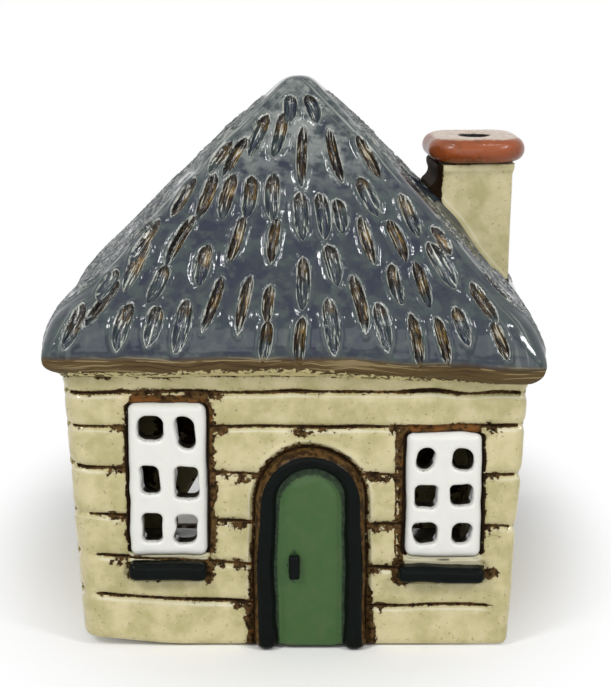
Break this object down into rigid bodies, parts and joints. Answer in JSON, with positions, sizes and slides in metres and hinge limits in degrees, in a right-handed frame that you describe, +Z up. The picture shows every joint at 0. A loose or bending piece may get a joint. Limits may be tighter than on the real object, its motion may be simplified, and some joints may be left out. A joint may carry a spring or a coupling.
{
  "type": "house tea light holder",
  "caption": "Glazed pottery cottage with a carved hipped roof, chimney flue, pierced white windows and an arched door, open at the back to hold a tea light.",
  "frame": {"origin": "on the ground, under the middle of the roof", "axes": "+X to the right along the front, +Y from the door towards the back arch, +Z up"},
  "size_m": [0.102, 0.086, 0.115],
  "materials": {
    "bare_clay": "unglazed fired clay",
    "beige_glaze": "glossy glaze, brown where it pools",
    "slate_glaze": "thick glossy glaze",
    "orange_glaze": "glossy glaze",
    "white_glaze": "glossy glaze",
    "black_glaze": "glossy glaze",
    "green_glaze": "glossy glaze",
    "cup_metal": "satin",
    "tab_metal": "satin",
    "wax": "smooth wax",
    "cotton": "braided cotton"
  },
  "bodies": {
    "house": {"floor_slab": "bare_clay", "front_wall": "beige_glaze", "back_wall": "beige_glaze", "left_wall": "beige_glaze", "right_wall": "beige_glaze", "roof": "slate_glaze", "chimney_stack": "beige_glaze", "chimney_cap": "orange_glaze", "left_window": "white_glaze", "right_window": "white_glaze", "left_sill": "black_glaze", "right_sill": "black_glaze", "door_panel": "green_glaze", "door_surround": "black_glaze", "door_handle": "black_glaze"},
    "tealight": {"tealight_cup": "cup_metal", "tealight_wax": "wax", "tealight_wick_tab": "tab_metal", "tealight_wick": "cotton"}
  },
  "joints": [
    {"name": "tealight_slide", "type": "slide", "parent": "house", "child": "tealight", "axis": [0, 1, 0], "range_m": [0, 0.075]}
  ]
}
